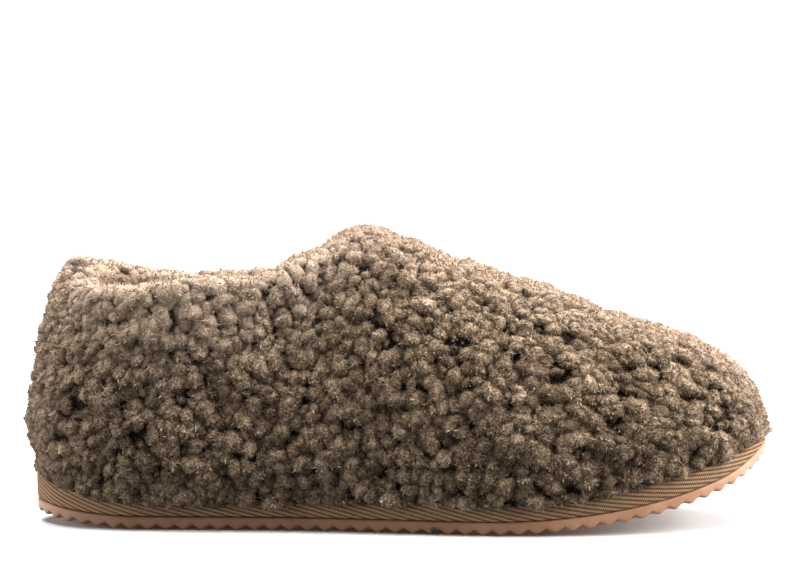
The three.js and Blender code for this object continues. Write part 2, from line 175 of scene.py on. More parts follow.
# %% [markdown]
# ## The last: the shape under the wool
# A shoemaker builds the upper over a last. Here the upper is a fan of ribs, from the hem to the collar
# or, in front of the opening, to the ridge of the foot. Each rib is one cubic curve, and a short table
# says where it starts, how far it swells and where it ends. A sculpted mesh would do too, but a
# function can be asked for any point, and that is what the curls need later.
#
# The columns of the table: `at` is the share of the half outline from the back of the heel to the tip of
# the toe. `top` is where the rib ends, from 0 to 1 along the opening and from 1 to 2 down the ridge.
# `outer` and `inner` are the height there on both sides of the foot. `opening` is the share of the
# opening's width. `swell`, `rise`, `shoulder` and `drop` place the curve's two middle points, and `hem` is
# the share of the depth to which the hem hangs over the tape.

# %% Table of ribs
COLLAR_END = 0.5
RIB_COLUMNS = ("at", "top", "outer", "inner", "opening", "swell", "rise", "shoulder", "drop", "hem")
heel, outer, inner = HEEL_HEIGHT, OUTER_SIDE_HEIGHT, INNER_SIDE_HEIGHT
instep, vamp, toe = INSTEP_HEIGHT, VAMP_HEIGHT, TOE_HEIGHT
RIBS = dict(zip(RIB_COLUMNS, np.array([
    (0.00, 0.00, heel, heel, 0.00, 0.0, 0.33, 0.59, 0.33, 0.26),
    (0.08, 0.03, 0.92 * heel, 0.985 * heel, 0.20, 0.3, 0.33, 0.55, 0.33, 0.70),
    (0.16, 0.15, 0.97 * outer, 1.045 * inner, 0.42, 0.8, 0.33, 0.40, 0.35, 0.90),
    (0.26, 0.42, outer, inner, 0.50, 1.0, 0.34, 0.40, 0.35, 1.00),
    (0.35, 0.68, 0.9 * outer + 0.1 * instep, 0.93 * inner + 0.07 * instep, 0.44, 1.0, 0.36, 0.42, 0.30, 1.00),
    (0.42, 0.88, 0.45 * outer + 0.55 * instep, 0.5 * inner + 0.5 * instep, 0.32, 1.0, 0.38, 0.48, 0.20, 0.85),
    (0.47, 0.98, 0.1 * outer + 0.9 * instep, 0.1 * inner + 0.9 * instep, 0.14, 0.9, 0.40, 0.55, 0.06, 0.80),
    (COLLAR_END, 1.00, instep, instep, 0.00, 0.9, 0.41, 0.60, 0.00, 0.80),
    (0.58, 1.20, 0.4 * vamp + 0.6 * instep, 0.4 * vamp + 0.6 * instep, 0.00, 0.8, 0.43, 0.63, 0.00, 0.84),
    (0.68, 1.48, vamp, vamp, 0.00, 0.6, 0.45, 0.65, 0.00, 0.75),
    (0.80, 1.77, 0.4 * vamp + 0.6 * toe, 0.4 * vamp + 0.6 * toe, 0.00, 0.2, 0.48, 0.65, 0.00, 0.36),
    (0.91, 1.94, 0.1 * vamp + 0.9 * toe, 0.1 * vamp + 0.9 * toe, 0.00, -0.1, 0.50, 0.58, 0.00, 0.32),
    (1.00, 2.00, toe, toe, 0.00, 0.0, 0.44, 0.44, 0.00, 0.85),
]).T))
print(len(RIBS["at"]), "ribs set by hand, the highest at", RIBS["outer"].max(), "mm")


def rib(column, at):
    """One column of the table at shares `at`: a cubic through the rows whose slope at a row is the
    harmonic mean of the slopes on its two sides, or zero where they differ in sign, so it never
    swings past a row. It is level at both ends, apart from the opening."""
    rows, values = RIBS["at"], RIBS[column]
    slope = np.diff(values) / np.diff(rows)
    tangent = np.zeros(len(rows))
    product = slope[:-1] * slope[1:]
    tangent[1:-1] = np.where(product > 0, 2 * product / np.where(product > 0, slope[:-1] + slope[1:], 1), 0)
    if column == "opening":
        closed = np.argmax(rows == COLLAR_END)
        tangent[0], tangent[closed] = slope[0], slope[closed - 1]
    k = np.clip(np.searchsorted(rows, at, side="left") - 1, 0, len(rows) - 2)
    span = rows[k + 1] - rows[k]
    u = np.clip((at - rows[k]) / span, 0, 1)
    ease = u * u * (3 - 2 * u)
    bend = span * (u * (1 - u) ** 2 * tangent[k] - u * u * (1 - u) * tangent[k + 1])
    return values[k] * (1 - ease) + values[k + 1] * ease + bend


# %% Point of the upper
OPENING_BACK = 0.047 * SOLE_LENGTH
OPENING_FRONT = OPENING_BACK + OPENING_LENGTH
TOE_TOP = 0.9 * SOLE_LENGTH


def upper_point(side, at, up):
    """The upper's outer face. side is -1 on the outer side of the foot and 1 on the inner side, at the
    share of the half outline, and up runs from the hem (0) to the rib's upper end (1). The point is a
    cubic Bezier of hem, side, shoulder and end."""
    side, at, up = np.broadcast_arrays(np.asarray(side, float), np.asarray(at, float), np.asarray(up, float))
    share = np.where(side < 0, at * TIP_SHARE, 1 - at * (1 - TIP_SHARE))
    foot = outline_at(share, OVERHANG)
    out = outline_at(share, OVERHANG + 1) - foot
    hem = np.concatenate([foot, (platform_top(foot[..., 0]) - rib("hem", at) * HEM_DROP)[..., None]], -1)
    top = rib("top", at)
    on_opening = OPENING_BACK + top * OPENING_LENGTH
    on_ridge = OPENING_FRONT + (top - 1) * (TOE_TOP - OPENING_FRONT)
    top_x = np.where(top <= 1, on_opening, on_ridge)
    height = np.where(side < 0, rib("outer", at), rib("inner", at))
    opening = np.where(at < COLLAR_END, rib("opening", at), 0)
    end = np.stack([top_x, side * opening * OPENING_WIDTH, height], -1)
    tall = (end[..., 2] - hem[..., 2])[..., None]
    swell = (rib("swell", at) * SIDE_SWELL)[..., None]
    up_only = np.array([0.0, 0.0, 1.0])
    low = hem + np.concatenate([out * swell, 0 * tall], -1) + up_only * rib("rise", at)[..., None] * tall
    flat = np.array([1.0, 1.0, 0.0])
    shoulder, drop = rib("shoulder", at)[..., None], rib("drop", at)[..., None]
    high = end + shoulder * (hem - end) * flat - up_only * drop * tall
    u = up[..., None]
    return hem * (1 - u) ** 3 + 3 * low * u * (1 - u) ** 2 + 3 * high * u**2 * (1 - u) + end * u**3


sample = upper_point(-1, np.linspace(0, 1, 5), 1.0)
print("upper ends of five ribs, in mm:", np.round(sample, 0).tolist())

# %% [markdown]
# ## Turning arrays into meshes
# Every piece below is a grid of points: rows one way, columns the other. Four neighbours make a face.
# Blender can build meshes vertex by vertex, but handing over whole arrays is far quicker and keeps the
# shape and the code that makes it in one place.

# %% Grid faces and mesh pieces
def grid_faces(index, close_rows=False, close_columns=False):
    """Four-sided faces of a grid of vertex numbers: each joins row r to row r+1 and column c to c+1."""
    if close_rows:
        index = np.vstack([index, index[:1]])
    if close_columns:
        index = np.hstack([index, index[:, :1]])
    a, b, c, d = index[:-1, :-1], index[:-1, 1:], index[1:, 1:], index[1:, :-1]
    return np.stack([a, b, c, d], -1).reshape(-1, 4)


def mesh_piece(name, points, faces, numbers):
    """A smooth mesh object. points are in millimetres of the slipper's own frame, faces hold vertex
    numbers, and numbers are values per vertex by name, which a material reads as attributes."""
    corners = faces.shape[1]
    used, faces = np.unique(faces, return_inverse=True)
    faces = faces.reshape(-1, corners)
    mesh = bpy.data.meshes.new(name)
    mesh.vertices.add(len(used))
    mesh.vertices.foreach_set("co", ((points[used] + SHIFT) * TO_METRES).astype(np.float32).ravel())
    mesh.loops.add(faces.size)
    mesh.loops.foreach_set("vertex_index", faces.astype(np.int32).ravel())
    mesh.polygons.add(len(faces))
    mesh.polygons.foreach_set("loop_start", np.arange(len(faces), dtype=np.int32) * corners)
    mesh.polygons.foreach_set("use_smooth", np.ones(len(faces), bool))
    for key, values in numbers.items():
        mesh.attributes.new(key, "FLOAT", "POINT").data.foreach_set("value", values[used].astype(np.float32))
    mesh.update(calc_edges=True)
    mesh.validate()
    piece = bpy.data.objects.new(name, mesh)
    bpy.context.scene.collection.objects.link(piece)
    triangles = len(faces) * (corners - 2)
    print(f"{name}: {len(used)} vertices, {triangles} triangles")
    return piece


def wear(piece, material, slot, *nodes):
    """Gives a piece its material, hangs it under the root body and hides the CAD nodes that it stands for.
    slot is not used.
    """
    piece.data.materials.append(material)
    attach(piece, "root")
    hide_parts(*nodes)
    print(piece.name, "wears", material.name, "in place of", *nodes)


first_faces = grid_faces(np.arange(6).reshape(2, 3))
print("a grid of 2 by 3 points has the faces", first_faces.tolist())


# %% [markdown]
# ## Colours and shader nodes
# Colours are written as the hex values that a picture editor shows. Blender calculates with linear
# light, so one function turns them over.

# %% Colour and node helpers
def linear(hex_colour):
    """An sRGB hex colour as linear RGBA: each channel c becomes ((c + 0.055) / 1.055) to the power 2.4,
    or c / 12.92 where it is very dark."""
    channels = [int(hex_colour[k : k + 2], 16) / 255 for k in (1, 3, 5)]
    return tuple(c / 12.92 if c <= 0.04045 else ((c + 0.055) / 1.055) ** 2.4 for c in channels) + (1.0,)


def new_material(name):
    """A material with an empty node tree that holds one Principled shader and its output."""
    material = bpy.data.materials.new(name)
    material.use_nodes = True
    tree = material.node_tree
    shader = next(n for n in tree.nodes if n.type == "BSDF_PRINCIPLED")
    return material, tree, shader


def add_node(tree, kind, inputs=None, **settings):
    """Adds a node, sets its properties, and fills its inputs with values or with other nodes' outputs."""
    node = tree.nodes.new(kind)
    for key, value in settings.items():
        setattr(node, key, value)
    for key, value in (inputs or {}).items():
        if isinstance(value, bpy.types.NodeSocket):
            tree.links.new(value, node.inputs[key])
        else:
            node.inputs[key].default_value = value
    return node


print("a middle grey of #808080 is", round(linear("#808080")[0], 3), "in linear light")

# %% [markdown]
# ## Scattered balls
# Curls and the tufts on them sit like pebbles in a heap: one centre each, at uneven distances and of
# uneven size. A grid of boxes with one random point in each gives such centres, and the boxes around a
# point hold all the balls that can reach it. Blender's Voronoi texture scatters points the same way,
# but only inside a material, where it can't push the wool outwards.

# %% Random numbers in boxes
LOTS = np.random.default_rng(11).random((4096, 5))


def lots_of(box, seed):
    """Five random numbers for each box, from its three whole-number coordinates mixed into one."""
    mixed = box[:, 0] * 73856093 ^ box[:, 1] * 19349663 ^ box[:, 2] * 83492791 ^ (seed * 97 + 13) * 2654435761
    mixed = (mixed ^ (mixed >> 13)) * 1274126177
    return LOTS[(mixed ^ (mixed >> 16)) & 4095]


def balls(points, normals, spacing, small, large, seed):
    """Height of a heap of balls over each point, along its normal. For one ball it is the radius times
    the square root of what is left of 1 after taking off the squared distance from the centre, as a
    share of the squared radius, where the part of the distance along the normal counts 0.45. Balls whose
    centre lies below the point stand a little lower. The highest ball counts. Returns that height, 0
    where there is no ball, the share that is left of 1, the sideways way from the ball's centre, and two
    random numbers of that ball."""
    scaled = points / spacing
    home = np.floor(scaled).astype(np.int64)
    height = np.zeros(len(points))
    rim = height.copy()
    away = np.zeros_like(points)
    lots = np.zeros((len(points), 2))
    for step in np.ndindex(3, 3, 3):
        box = home + (np.array(step) - 1)
        lot = lots_of(box, seed)
        way = (scaled - (box + lot[:, :3])) * spacing
        lift = np.einsum("ij,ij->i", way, normals)
        sideways = way - lift[:, None] * normals
        radius = small + (large - small) * lot[:, 3]
        left = 1 - (np.einsum("ij,ij->i", sideways, sideways) + 0.45 * lift**2) / radius**2
        top = np.where(left > 0, radius * np.sqrt(np.maximum(left, 0)) - 0.25 * lift, 0)
        higher = top > height
        height = np.where(higher, top, height)
        rim = np.where(higher, left, rim)
        away[higher] = sideways[higher]
        lots[higher] = lot[higher][:, 3:]
    return height, np.maximum(rim, 0), away, lots


def drift(points, size, seed):
    """Three smooth random numbers from -1 to 1 for each point: those of the eight corners of its box,
    blended by an eased share along each axis."""
    scaled = points / size
    home = np.floor(scaled).astype(np.int64)
    part = scaled - home
    part = part * part * (3 - 2 * part)
    total = np.zeros_like(scaled)
    for step in np.ndindex(2, 2, 2):
        weight = np.prod(np.where(step, part, 1 - part), axis=1)
        total += weight[:, None] * lots_of(home + np.array(step), seed)[:, :3]
    return total * 2 - 1


print("one box's five random numbers:", np.round(lots_of(np.array([[0, 0, 0]]), 21)[0], 2).tolist())

# %% [markdown]
# ## The curls
# Curly shearling keeps its wool in small springy balls, 3 to 8 mm across, which gather in clusters
# with dark gaps between them. A particle system would need millions of hairs to look so dense.
# Instead the surface itself is pushed out: into clusters, into curls on the clusters and into tufts
# on the curls. A curl is wider than its foot, so points are also pushed sideways towards the gaps. The
# places where the balls are looked up wander a little, so that no curl is quite round, and in front of
# the ball of the foot they are squeezed lengthwise, which draws the curls out towards the toe.

# %% Curl field
# Spacing, smallest radius and largest radius in mm.
CLUSTERS = (9.5, 5.2, 7.6)
CURLS = (3.7, 1.6, 3.1)
TUFTS = (1.6, 0.75, 1.35)
GAP_DEPTH = 3.7
SAG = 0.2
TOE_START = 180.0
TOE_SQUEEZE = 0.3


def curl(points, normals, loft, puff, floor):
    """Pushes points out into clusters, curls and tufts: the height is a share of each heap's height and
    of a slow swell, less the depth of the gaps. Raised wool sags by a share of its height. loft scales
    the curls, puff lifts the whole pile by that many millimetres, and no point sinks below floor.
    Returns the new points, how far out of the gaps each one is, from 0 to 1, and a random number for
    each curl."""
    wandering = points + 1.9 * drift(points, 8.0, 3) + 0.85 * drift(points, 2.4, 4)
    wandering[:, 0] -= TOE_SQUEEZE * np.maximum(points[:, 0] - TOE_START, 0)
    cluster, cluster_rim, _, _ = balls(wandering, normals, *CLUSTERS, 21)
    ball, rim, away, lots = balls(wandering, normals, *CURLS, 22)
    tuft, tuft_rim, _, _ = balls(wandering, normals, *TUFTS, 23)
    swell = drift(points, 30.0, 5)[:, 0]
    height = -GAP_DEPTH + 0.26 * cluster + 1.2 * ball + 0.8 * tuft * (0.35 + 0.65 * rim) + 0.8 * swell
    height = np.maximum(height * loft + puff, floor)
    spread = 0.45 * np.sqrt(rim) * (1 - rim) * 2.6 * loft
    pushed = points + normals * height[:, None] + away * spread[:, None]
    pushed[:, 2] -= SAG * np.maximum(height, 0)
    in_cluster, in_curl, in_tuft = (np.sqrt(share) for share in (cluster_rim, rim, tuft_rim))
    depth = np.clip(0.12 * in_cluster + 0.62 * in_curl + 0.26 * in_tuft * in_curl, 0, 1)
    return pushed, depth, lots[:, 1]


print(f"clusters {CLUSTERS[0]} mm apart, curls {CURLS[0]} mm, tufts {TUFTS[0]} mm")


# %% [markdown]
# ## The base under the pile
# The wool grows on a hide that hangs over the tape at the hem, climbs the wall, rolls over the collar
# and runs down again inside as a lining. Two grids cover it: one for the back, with the collar, and one
# for the front. They share the rib in front of the opening, so no seam shows between them.

# %% Normals and hem of the wall
def wall_normal(side, at, up):
    """Outward normal of the upper's outer face: the cross product of a small step along the sole and a
    small step up the rib. On the ridge in front of the opening it has no sideways part."""
    side, at, up = np.broadcast_arrays(np.asarray(side, float), np.asarray(at, float), np.asarray(up, float))
    step = 0.005
    along = upper_point(side, np.clip(at + step, 0, 1), up) - upper_point(side, np.clip(at - step, 0, 1), up)
    rise = upper_point(side, at, np.clip(up + step, 0, 1)) - upper_point(side, at, np.clip(up - step, 0, 1))
    normal = np.cross(along, rise) * -side[..., None]
    normal[..., 1] *= np.where((up > 1 - 1e-9) & (at > COLLAR_END - 1e-9), 0, 1)
    return normal / np.linalg.norm(normal, axis=-1, keepdims=True)


HEM_TURN = np.radians([-180.0, -135.0, -90.0, -45.0])
HEM_ROUND = 0.65
HEM_ROWS = 1 + len(HEM_TURN)


def hem_rows(side, at):
    """Rows under the hem, from the tape outwards: one against the tape, then half a circle whose end
    is the foot of the wall. Returns points and normals."""
    share = np.where(side < 0, at * TIP_SHARE, 1 - at * (1 - TIP_SHARE))
    foot = outline_at(share, 0.0)
    out = outline_at(share, 1.0) - foot
    height = upper_point(side, at, 0.0)[..., 2]
    reach = np.concatenate([[0.6], OVERHANG - HEM_ROUND + HEM_ROUND * np.cos(HEM_TURN)])
    lift = np.concatenate([[2.0], HEM_ROUND * np.sin(HEM_TURN)])
    points = np.concatenate(
        [foot[None] + out[None] * reach[:, None, None], (height[None] + lift[:, None])[..., None]], -1
    )
    turn = np.concatenate([[-math.pi], HEM_TURN])
    flat_part = out[None] * np.cos(turn)[:, None, None]
    upright = np.sin(turn)[:, None, None] * np.ones(flat_part.shape[:2])[..., None]
    return points, np.concatenate([flat_part, upright], -1)


print(f"the hem is {HEM_ROWS} rows of points, rounded by {HEM_ROUND} mm")

# %% Height of the pile over the last
WALL_ROWS = 150
WALL_UPS = np.linspace(0, 1, WALL_ROWS + 1)


def ease(x):
    """Smooth step from 0 to 1: three times the square less twice the cube."""
    x = np.clip(x, 0, 1)
    return x * x * (3 - 2 * x)


# The lowest that the pile may sink: less over the tape, which must not show through, than above it.
HEM_FLOOR = -0.4
WALL_FLOOR = -1.2 - 1.9 * ease((WALL_UPS - 0.18) / 0.2)
COLLAR_FLOOR = -1.5
INSIDE_FLOOR = -3.0
# Curls grow from nothing under the hem to full size on the wall, and lose a third of it at the collar.
HEM_LOFT = np.array([0.0, 0.15, 0.4, 0.6, 0.8])
COLLAR_LOSS = 0.35 * ease((WALL_UPS - 0.84) / 0.16)


def extra(at, up):
    """Millimetres by which the pile stands higher: nothing at the hem and a body of wool above it, a
    bump on the instep in front of the collar and on the throat where the collar dips, a little more
    high on the heel and on top of the vamp, and less at the foot of the heel and round the toe, where
    slippers get rubbed down."""
    body = 2.2 * ease(up / 0.22) * ease((1 - at) / 0.18)
    instep = 3.0 * np.exp(-(((at - 0.5) / 0.075) ** 2)) * ease((up - 0.45) / 0.5)
    heel = 1.4 * ease((0.12 - at) / 0.1) * (ease((up - 0.5) / 0.3) - 1.6 * ease((0.3 - up) / 0.25))
    throat = 2.6 * np.exp(-(((at - 0.385) / 0.035) ** 2)) * ease((up - 0.7) / 0.25)
    vamp = 1.2 * ease((at - 0.6) / 0.1) * ease((up - 0.5) / 0.3) * ease((1 - at) / 0.06)
    toe = -0.6 * ease((at - 0.88) / 0.1) - 1.5 * ease((at - 0.9) / 0.08) * ease((0.5 - up) / 0.35)
    return body + instep + heel + throat + vamp + toe


print("extra pile on the instep in mm:", round(float(extra(0.5, 1.0)), 1))

# %% Back grid: wall, rolled collar and lining
COLLAR_ROWS = 24
LINING_ROWS = 40
BACK_COLUMNS = 440
COLLAR_ROUND = 4.2
LINING_END = 0.12
BACK_UPS = np.concatenate([np.zeros(HEM_ROWS), WALL_UPS, np.ones(COLLAR_ROWS + LINING_ROWS)])


def back_grid():
    """Points, normals, loft, puff and floor of the back: rows run from under the hem up the wall, half an
    ellipse round over the collar and down inside. Columns run from the outer side round the heel."""
    way = np.linspace(-COLLAR_END, COLLAR_END, BACK_COLUMNS + 1)
    side, at = np.where(way <= 0, -1.0, 1.0), np.abs(way)
    hem, hem_normal = hem_rows(side, at)
    wall, wall_n = upper_point(side, at, WALL_UPS[:, None]), wall_normal(side, at, WALL_UPS[:, None])
    edge, n = wall[-1], wall_n[-1]
    travel = np.gradient(edge, axis=0)
    over = -np.cross(n, travel)
    over[:, 1] *= ease((COLLAR_END - at) / 0.03)
    over /= np.linalg.norm(over, axis=1, keepdims=True)
    turn = (np.arange(1, COLLAR_ROWS) / COLLAR_ROWS * math.pi)[:, None, None]
    middle = edge - n * WALL / 2
    collar = middle + n * WALL / 2 * np.cos(turn) + over * COLLAR_ROUND * np.sin(turn)
    collar_n = n * np.cos(turn) + over * np.sin(turn)
    down = np.linspace(1, LINING_END, LINING_ROWS + 1)[:, None]
    lining_n = wall_normal(side, at, down)
    lining = upper_point(side, at, down) - lining_n * WALL
    points = np.concatenate([hem, wall, collar, lining])
    normals = np.concatenate([hem_normal, wall_n, collar_n, -lining_n])
    fade = np.linspace(0, 1, COLLAR_ROWS - 1)
    lining_loft = np.linspace(0.55, 0.5, LINING_ROWS + 1)
    loft = np.concatenate([HEM_LOFT, 1 - COLLAR_LOSS, 0.65 - 0.1 * fade, lining_loft])
    rest = np.full(COLLAR_ROWS + LINING_ROWS, COLLAR_FLOOR)
    floor = np.concatenate([np.full(HEM_ROWS, HEM_FLOOR), WALL_FLOOR, rest])
    outside = np.ones(HEM_ROWS + WALL_ROWS + 1)
    share = np.concatenate([outside, np.linspace(1, 0.1, COLLAR_ROWS - 1), np.full(LINING_ROWS + 1, 0.1)])
    puff = extra(at, BACK_UPS[:, None]) * share[:, None]
    columns = np.ones(len(way))
    return points, normals, loft[:, None] * columns, puff, floor[:, None] * columns


print(f"the back is {len(BACK_UPS)} rows of {BACK_COLUMNS + 1} points")

# %% Front grid: vamp and toe
FRONT_COLUMNS = 240
INNER_ROWS = 20
RIDGE_ROWS = 22
INSIDE_LOFT = 0.3
INSIDE_UPS = np.linspace(LINING_END, 1, INNER_ROWS + 1)
FRONT_UPS = np.concatenate([
    np.zeros(HEM_ROWS), WALL_UPS, WALL_UPS[::-1][1:], np.zeros(HEM_ROWS + 2 * INNER_ROWS + 1),
])


def front_grid():
    """Points, normals, loft, puff, floor and vertex numbers of the front: rows run from under the outer
    hem over the ridge to the inner hem and back inside. On both sides of the ridge the normals swing over
    evenly, so that no crease runs down the vamp. In the last column, at the tip of the toe, outer and
    inner rows meet, so each pair there is one point with one number, and the surface is closed."""
    at = np.linspace(COLLAR_END, 1, FRONT_COLUMNS + 1)
    ups, inside = WALL_UPS[:, None], INSIDE_UPS[:, None]
    one = np.ones(len(at))
    hem_o, hem_on = hem_rows(-one, at)
    hem_i, hem_in = hem_rows(one, at)
    wall_o, wall_on = upper_point(-1, at, ups), wall_normal(-1, at, ups)
    wall_i, wall_in = upper_point(1, at, ups[::-1])[1:], wall_normal(1, at, ups[::-1])[1:]
    inner_in = wall_normal(1, at, inside)
    inner_i = upper_point(1, at, inside) - inner_in * WALL
    inner_on = wall_normal(-1, at, inside[::-1])[1:]
    inner_o = upper_point(-1, at, inside[::-1])[1:] - inner_on * WALL
    points = np.concatenate([hem_o, wall_o, wall_i, hem_i[::-1], inner_i, inner_o])
    normals = np.concatenate([hem_on, wall_on, wall_in, hem_in[::-1], -inner_in, -inner_on])
    half = HEM_ROWS + WALL_ROWS
    swing = np.linspace(0, 1, 2 * RIDGE_ROWS + 1)[:, None, None]
    first_n, last_n = normals[half - RIDGE_ROWS].copy(), normals[half + RIDGE_ROWS].copy()
    normals[half - RIDGE_ROWS : half + RIDGE_ROWS + 1] = first_n + (last_n - first_n) * swing
    outer = np.arange(half + half + 1)
    mirror = np.concatenate([outer[::-1], len(outer) + np.arange(2 * INNER_ROWS + 1)[::-1]])
    for part in (points, normals):
        part[:, -1] = (part[:, -1] + part[mirror, -1]) / 2
    normals /= np.linalg.norm(normals, axis=-1, keepdims=True)
    loss = np.concatenate([COLLAR_LOSS, COLLAR_LOSS[::-1][1:]])[:, None] * ease((0.57 - at) / 0.07)
    rows_inside = 2 * INNER_ROWS + 1
    loft = np.concatenate([
        HEM_LOFT, np.ones(2 * WALL_ROWS + 1), HEM_LOFT[::-1], np.full(rows_inside, INSIDE_LOFT),
    ])[:, None] * one
    loft[HEM_ROWS : HEM_ROWS + 2 * WALL_ROWS + 1] -= loss
    hem_floor = np.full(HEM_ROWS, HEM_FLOOR)
    floor = np.concatenate([
        hem_floor, WALL_FLOOR, WALL_FLOOR[::-1][1:], hem_floor, np.full(rows_inside, INSIDE_FLOOR),
    ])[:, None] * one
    index = np.arange(points.shape[0] * points.shape[1]).reshape(points.shape[:2])
    first = np.minimum(np.arange(len(mirror)), mirror)
    index[:, -1] = index[first, -1]
    return points, normals, loft, extra(at, FRONT_UPS[:, None]), floor, index


print(f"the front is {len(FRONT_UPS)} rows of {FRONT_COLUMNS + 1} points")

# %% [markdown]
# ## Growing the pile
# Now the curls are pushed out of both grids. The same function of a point in space serves both, so
# curls run on across the join.

# %% Pile pieces
def painted_light_of(at, up):
    """How much painted light lightens the wool, from 0 to 1: a painted highlight where light falls, most
    along the top of the foot and at the collar, at the toe also further down the sides, and some at both
    ends, towards the lamps at the toe and the heel. Both grids then keep the gaps dark."""
    start = 0.48 - 0.3 * ease((at - 0.8) / 0.15)
    top = (0.85 + 0.15 * ease((COLLAR_END - at) / 0.15)) * ease((up - start) / 0.52) ** 1.3
    ends = 0.55 * ease((at - 0.84) / 0.14) + 0.45 * ease((0.12 - at) / 0.1)
    return np.maximum(top, ends)


def grow(points, normals, loft, puff, floor):
    """Curls on a grid of points. Returns the grid of new points and its depth and lot numbers."""
    flat = [array.ravel() for array in (loft, puff, floor)]
    grown, depth, lot = curl(points.reshape(-1, 3), normals.reshape(-1, 3), *flat)
    return grown.reshape(points.shape), depth.reshape(loft.shape), lot.reshape(loft.shape)


def grid_normals(points, normals):
    """Normals of a grid: the cross product of its two directions of travel, turned to agree with the
    normals of the base."""
    across = np.cross(np.gradient(points, axis=1), np.gradient(points, axis=0))
    across /= np.linalg.norm(across, axis=-1, keepdims=True) + 1e-12
    return across * np.sign(np.einsum("ijk,ijk->ij", across, normals))[..., None]


def lit(painted_light, depth):
    """The share of the painted light that reaches a point: all of it halfway out of the gaps, a fifth inside.
    """
    return painted_light * (0.2 + 0.8 * ease(depth / 0.5))


back = back_grid()
back_points, back_depth, back_lot = grow(*back)
back_index = np.arange(back_depth.size).reshape(back_depth.shape)
back_at = np.abs(np.linspace(-COLLAR_END, COLLAR_END, BACK_COLUMNS + 1))
# The painted light of the wool: a painted highlight, kept mostly off the gaps.
back_painted_light = lit(painted_light_of(back_at, BACK_UPS[:, None]), back_depth)
pile_back = mesh_piece(
    "pile_back", back_points.reshape(-1, 3), grid_faces(back_index, close_rows=True)[:, ::-1],
    {"depth": back_depth.ravel(), "lot": back_lot.ravel(), "painted_light": back_painted_light.ravel()},
)

front = front_grid()
front_points, front_depth, front_lot = grow(*front[:5])
front_at = np.linspace(COLLAR_END, 1, FRONT_COLUMNS + 1)
front_painted_light = lit(painted_light_of(front_at, FRONT_UPS[:, None]), front_depth)
pile_front = mesh_piece(
    "pile_front", front_points.reshape(-1, 3), grid_faces(front[5], close_rows=True),
    {"depth": front_depth.ravel(), "lot": front_lot.ravel(), "painted_light": front_painted_light.ravel()},
)

# %% [markdown]
# ## Loose fibres
# Up close each curl is a puff of fine hair that catches the light. Hair particles would be lost on the
# way to the library, so each fibre is one long thin triangle, and three hundred thousand of them are made
# from arrays, half on each pile. Neighbours lean alike, so they gather into wisps. A single fibre is too
# thin to show against the white ground, so every sixth one is a broad wisp, and the outline turns soft.

# %% Fuzz on the curls
FIBRES = 150000
FIBRE_LENGTH = 2.9
FIBRE_WIDTH = 0.2
WISP_EVERY = 6
WISP_WIDTH = 4.0


def fuzz(name, grid, base, rows, seed):
    """Thin blades on the raised parts of a pile: rooted at random places of the given rows, they leave
    along the normal plus a lean of their own and one that they share with their neighbours. More places
    are drawn than there are fibres, and a place is kept more often where its face is large and stands
    high. A blade is a little darker than its curl at the root and lighter at the tip."""
    points, depth, lot, painted_light = grid
    rng = np.random.default_rng(seed)
    normals = grid_normals(points, base[1])
    tries = FIBRES * 5
    r = rng.integers(rows[0], rows[1] - 1, tries)
    c = rng.integers(0, points.shape[1] - 1, tries)
    across, along = points[r, c + 1] - points[r, c], points[r + 1, c] - points[r, c]
    wanted = np.linalg.norm(across, axis=1) * np.linalg.norm(along, axis=1) * (0.15 + depth[r, c])
    keep = np.flatnonzero(rng.random(tries) < wanted / np.quantile(wanted, 0.9))[:FIBRES]
    r, c = r[keep], c[keep]
    count = len(keep)
    a, b = rng.random((2, count, 1))
    outward = normals[r, c]
    root = points[r, c] + a * across[keep] + b * along[keep] - 0.3 * outward
    way = outward + 0.3 * rng.normal(size=(count, 3)) + 0.9 * drift(root, 1.8, 8)
    way /= np.linalg.norm(way, axis=1, keepdims=True)
    half = np.cross(way, rng.normal(size=(count, 3)))
    half *= FIBRE_WIDTH / 2 / np.linalg.norm(half, axis=1, keepdims=True)
    half[::WISP_EVERY] *= WISP_WIDTH
    length = FIBRE_LENGTH * (0.3 + 0.7 * rng.random((count, 1)) ** 1.5)
    tip = root + way * length * (0.6 + 0.4 * depth[r, c])[:, None]
    corners = np.stack([root - half, root + half, tip], 1).reshape(-1, 3)
    shade = depth[r, c] + rng.normal(size=count) * 0.16
    # Painted light: blades are a little darker at the root and lighter at the tip, for light shining through
    # the fibres.
    depths = np.stack([shade * 0.85, shade * 0.85, 0.45 + 0.55 * shade], 1).ravel()
    per_corner = {"depth": depths, "lot": np.repeat(lot[r, c], 3), "painted_light": np.repeat(painted_light[r, c], 3)}
    return mesh_piece(name, corners, np.arange(3 * count).reshape(-1, 3), per_corner)


fuzzy_lining_rows = 12
back_rows = (HEM_ROWS - 1, HEM_ROWS + WALL_ROWS + COLLAR_ROWS + fuzzy_lining_rows)
front_rows = (HEM_ROWS - 1, 2 * (HEM_ROWS + WALL_ROWS))
fuzz_back = fuzz("fuzz_back", (back_points, back_depth, back_lot, back_painted_light), back, back_rows, 5)
fuzz_front = fuzz("fuzz_front", (front_points, front_depth, front_lot, front_painted_light), front, front_rows, 6)

# %% [markdown]
# ## Wool
# The real material is sheepskin with a dyed curly pile. Colour goes by how far out of the gap a point lies:
# the gaps are near black, partly because the dye takes darkest there and partly as painted shade, and a
# painted highlight lightens the tips where the lamps fall on them. Colour changes a little from curl to curl
# and from one thumb-wide patch to the next. Wool is rough and has a faint sheen at grazing angles from the
# loose fibres. A fine grain in colour and bump stands for the hairs of a curl. Real ones are some 0.03 mm
# thick, so the grain is drawn far coarser, at 0.8 mm, to show at all.

# %% Wool material
PATCH_SIZE = 18.2
HAIR_GRAIN = 0.77
HAIR_RELIEF = 0.8


